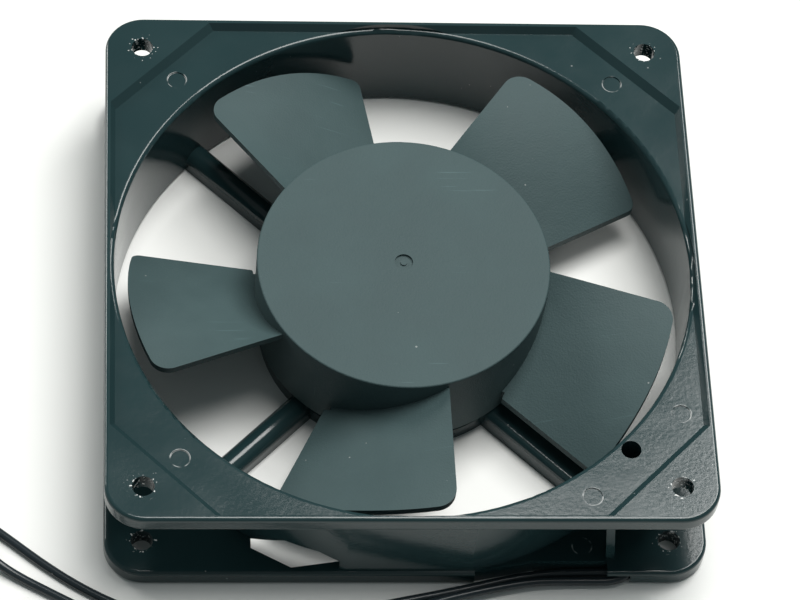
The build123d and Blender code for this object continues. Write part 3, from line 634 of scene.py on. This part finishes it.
@dataclass
class Motor:
    """Rotor, stator and windings."""

    shell: MetalFinish = MetalFinish("plated_shell", (0.55, 0.56, 0.58), (0.40, 0.40, 0.38), 0.35)
    sheet: MetalFinish = MetalFinish("lamination_stack", (0.30, 0.30, 0.31), (0.20, 0.17, 0.14), 0.45,
                                     Lay.STACKED)
    cast: MetalFinish = MetalFinish("cast_cage", (0.75, 0.76, 0.77), (0.55, 0.56, 0.57), 0.5)
    wire: MetalFinish = MetalFinish("enamelled_wire", (0.55, 0.22, 0.08), (0.40, 0.14, 0.05), 0.25,
                                    Lay.WOUND, 0.3 * MM)
    copper: MetalFinish = MetalFinish("bare_copper", (0.80, 0.45, 0.30), (0.50, 0.26, 0.16), 0.35)
    brass: MetalFinish = MetalFinish("turned_brass", (0.78, 0.60, 0.28), (0.60, 0.44, 0.20), 0.25,
                                     Lay.TURNED, 0.2 * MM)
    nylon: MouldedFinish = MouldedFinish("natural_nylon", (0.66, 0.63, 0.52), (0.72, 0.70, 0.60), 0.4,
                                         dust=0.1, scratch=0.1)
    sleeve: MouldedFinish = MouldedFinish("shrunk_sleeve", (0.74, 0.73, 0.66), (0.80, 0.79, 0.73), 0.3,
                                          dust=0.1, scratch=0.1)
    poles: int = 4

    def dress(self) -> None:
        """Gives each piece its finish."""
        numbers = range(1, self.poles + 1)
        DRESSER.dress(("rotor_shell",), self.shell)
        DRESSER.dress(("rotor_core", "stator_core"), self.sheet)
        DRESSER.dress(("rotor_cage",), self.cast)
        DRESSER.dress(tuple(f"coil_{number}" for number in numbers), self.wire)
        DRESSER.dress(tuple(f"shading_ring_{number}" for number in numbers), self.copper)
        DRESSER.dress(("rotor_bushing",), self.brass)
        DRESSER.dress(("upper_insulator", "lower_insulator"), self.nylon)
        DRESSER.dress(("splice_sleeve_1", "splice_sleeve_2"), self.sleeve)


@dataclass
class Bearings:
    """Shaft, both ball bearings and what sits between them."""

    ground: MetalFinish = MetalFinish("ground_steel", (0.62, 0.63, 0.65), (0.52, 0.53, 0.55), 0.12,
                                      Lay.TURNED, 0.15 * MM)
    ball: MetalFinish = MetalFinish("polished_balls", (0.70, 0.71, 0.73), (0.66, 0.67, 0.69), 0.06)
    spring: MetalFinish = MetalFinish("blued_spring", (0.30, 0.32, 0.37), (0.20, 0.20, 0.24), 0.3)
    places: tuple[str, ...] = ("upper", "lower")

    def dress(self) -> None:
        """Gives each piece its finish."""
        DRESSER.dress(("shaft",), self.ground)
        DRESSER.dress(("retaining_ring", "preload_spring", "upper_shim", "lower_shim"), self.spring)
        for place in self.places:
            ground = ("outer_race", "inner_race", "ball_cage")
            DRESSER.dress(tuple(f"{place}_{part}" for part in ground), self.ground)
            DRESSER.dress((f"{place}_balls",), self.ball)


@dataclass
class Leads:
    """Two single leads: held in the casting, then free to a tied coil."""

    diameter: float = 1.8 * MM
    length: float = 300 * MM
    low_mm: float = 0.92
    coil_middle: Point = (-98.0 * MM, -50.0 * MM, 0.0)
    coil_outer: float = 11.8 * MM
    turn_pitch: float = 1.86 * MM
    layer_heights: tuple[float, float] = (1.24 * MM, 3.10 * MM)
    points_a_turn: int = 12
    turns: float = 2.5
    spread: float = 0.9
    coil_starts: tuple[float, float] = (32.0, 0.0)
    skin: MouldedFinish = MouldedFinish("lead_insulation", (0.016, 0.023, 0.027), (0.022, 0.031, 0.036),
                                        0.22, grain=0.03, dust=0.25, scratch=0.1)
    tie: MouldedFinish = MouldedFinish("tie_plastic", (0.55, 0.55, 0.52), (0.62, 0.62, 0.60), 0.35,
                                       dust=0.1, scratch=0.1)
    tin: MetalFinish = MetalFinish("tinned_wire", (0.72, 0.70, 0.66), (0.58, 0.55, 0.50), 0.3)

    def free_points_1(self) -> list[Point]:
        """Lead 1 from its outlet, beside and then under lead 2, to its coil.

        Returns:
            The points in metres.
        """
        low = self.low_mm
        return [(x * MM, y * MM, z * MM) for x, y, z in (
            (38.6, -58.3, 1.6), (32.4, -58.3, 1.6), (25.6, -58.75, 1.35), (18.8, -59.95, 1.15),
            (12.0, -61.65, 1.0), (4.6, -63.25, low), (-3.4, -64.9, low), (-12.5, -67.2, low),
            (-22.5, -69.4, low), (-33.5, -70.6, low), (-44.5, -69.6, low), (-54.5, -66.6, low),
            (-63.6, -61.9, low), (-71.6, -56.3, low), (-80.1, -49.2, low))]

    def free_points_2(self) -> list[Point]:
        """Lead 2 from its outlet, leaning on lead 1, to its coil.

        Returns:
            The points in metres.
        """
        low = self.low_mm
        return [(x * MM, y * MM, z * MM) for x, y, z in (
            (38.6, -60.3, 1.6), (32.6, -60.3, 1.6), (25.4, -60.6, 2.1), (18.6, -61.85, 2.15),
            (11.6, -63.45, 2.15), (4.4, -65.3, 1.75), (-4.0, -67.6, 1.1), (-13.2, -70.8, low),
            (-24.0, -73.6, low), (-35.8, -74.9, low), (-47.6, -73.3, low), (-58.8, -68.9, low),
            (-69.2, -63.1, low), (-77.4, -58.5, 1.1), (-82.2, -55.2, 2.2))]

    def coil_points(self, start: float, height: float) -> list[Point]:
        """One lead's turns, spiralling inwards in one layer.

        Args:
            start: Angle of the first point, in degrees.
            height: The layer's height.

        Returns:
            The points in metres.
        """
        step = 360.0 / self.points_a_turn
        # A smooth curve runs inside its control points, so they lie a little further out.
        outside = 1 / math.cos(math.radians(step / 2)) ** self.spread
        points = []
        for number in range(round(self.turns * self.points_a_turn) + 1):
            radius = (self.coil_outer - number / self.points_a_turn * self.turn_pitch) * outside
            turn = math.radians(start + number * step)
            points.append((self.coil_middle[0] + radius * math.cos(turn),
                           self.coil_middle[1] + radius * math.sin(turn), height))
        return points

    def make(self, name: str, points: list[Point]) -> bpy.types.Object:
        """Draws one free lead as a smooth curve.

        Args:
            name: The piece's name.
            points: Its control points in metres.

        Returns:
            The curve object.
        """
        curve = bpy.data.curves.new(name, "CURVE")
        curve.dimensions = "3D"
        curve.bevel_depth = self.diameter / 2
        curve.bevel_resolution = 5
        curve.use_fill_caps = True
        curve.resolution_u = 10
        spline = curve.splines.new("NURBS")
        spline.points.add(len(points) - 1)
        for point, place in zip(spline.points, points):
            point.co = (*place, 1.0)
        spline.order_u = 3
        spline.use_endpoint_u = True
        piece = bpy.data.objects.new(name, curve)
        bpy.context.scene.collection.objects.link(piece)
        curve.materials.append(DRESSER.material(self.skin))
        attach(piece, "casing")
        LOG.info("made %s", name)
        return piece

    def build(self) -> None:
        """Makes both free leads and dresses what holds and ends them."""
        first = self.free_points_1() + self.coil_points(self.coil_starts[0], self.layer_heights[0])
        second = self.free_points_2() + self.coil_points(self.coil_starts[1], self.layer_heights[1])
        one = self.make("free_lead_1", first)
        two = self.make("free_lead_2", second)
        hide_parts("lead_1", "lead_coil")
        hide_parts("lead_2")
        DRESSER.dress(("inner_lead_1", "inner_lead_2"), self.skin)
        DRESSER.dress(("lead_tie",), self.tie)
        DRESSER.dress(("lead_tip_1", "lead_tip_2"), self.tin)


@dataclass(frozen=True)
class Lamp:
    """One soft square lamp, facing the origin."""

    name: str
    at: Point
    size: float
    power: float
    colour: Colour = WARM_WHITE

    def hang(self) -> None:
        """Hangs the lamp."""
        light = bpy.data.lights.new(self.name, "AREA")
        light.size = self.size
        light.energy = self.power
        light.color = self.colour
        lamp = bpy.data.objects.new(self.name, light)
        lamp.location = self.at
        lamp.rotation_euler = (-Vector(self.at)).to_track_quat("-Z", "Y").to_euler()
        bpy.context.scene.collection.objects.link(lamp)


@dataclass
class Studio:
    """Pale floor, soft lights and the camera."""

    floor_size: float = 4.0
    floor_drop: float = 0.02 * MM
    floor_colour: Colour = (0.86, 0.86, 0.84)
    camera_at: Point = (-61.783 * MM, -424.495 * MM, 670.807 * MM)
    camera_turn: Point = (32.8046, -3.9607, -2.1895)
    lens: float = 173.583
    sky: Colour = (0.80, 0.93, 0.95)
    sky_strength: float = 0.20
    lamps: tuple[Lamp, ...] = (
        Lamp("overhead_softbox", (0.22, 0.26, 1.50), 0.7, 18.0),
        Lamp("key_softbox", (0.60, 0.66, 1.20), 0.5, 10.0),
        Lamp("back_softbox", (-1.00, 0.80, 0.55), 0.4, 6.0, WARMER_WHITE))

    def floor(self) -> None:
        """Lays the floor."""
        bpy.ops.object.select_all(action="DESELECT")
        bpy.ops.mesh.primitive_plane_add(size=self.floor_size, location=(0, 0, -self.floor_drop))
        plane = bpy.context.active_object
        plane.name = "floor"
        bpy.ops.object.transform_apply(location=True, rotation=False, scale=False)
        material, wires, shader, at = new_material("floor_board")
        faint = wires.ramp(wires.noise(at, 6.0, 2.0), 0.3, 0.7)
        paler = tuple(part * 0.97 for part in self.floor_colour)
        board = wires.blend(faint, opaque(self.floor_colour), opaque(paler))
        wires.put(board, shader.inputs["Base Color"])
        shader.inputs["Roughness"].default_value = 0.55
        plane.data.materials.append(material)

    def lights(self) -> None:
        """Sets the lamps and the sky."""
        for lamp in self.lamps:
            lamp.hang()
        world = bpy.data.worlds.new("pale_room")
        world.use_nodes = True
        sky = world.node_tree.nodes["Background"]
        sky.inputs["Color"].default_value = opaque(self.sky)
        sky.inputs["Strength"].default_value = self.sky_strength
        bpy.context.scene.world = world
        bpy.context.scene.view_settings.view_transform = "Standard"

    def camera(self) -> None:
        """Places the camera."""
        lens = bpy.data.cameras.new("camera")
        lens.lens = self.lens
        lens.sensor_width = SENSOR_WIDTH
        lens.clip_start = NEAR_CLIP
        camera = bpy.data.objects.new("camera", lens)
        camera.location = self.camera_at
        camera.rotation_euler = Euler([math.radians(part) for part in self.camera_turn], "XYZ")
        bpy.context.scene.collection.objects.link(camera)
        bpy.context.scene.camera = camera


def main() -> None:
    """Builds the scene: camera and leads first, then the rest."""
    logging.basicConfig(level=logging.INFO, format="%(message)s")
    studio = Studio()
    studio.camera()
    Leads().build()
    Casing().dress()
    ImpellerMoulding().dress()
    Motor().dress()
    Bearings().dress()
    studio.floor()
    studio.lights()


if __name__ == "__main__":
    main()
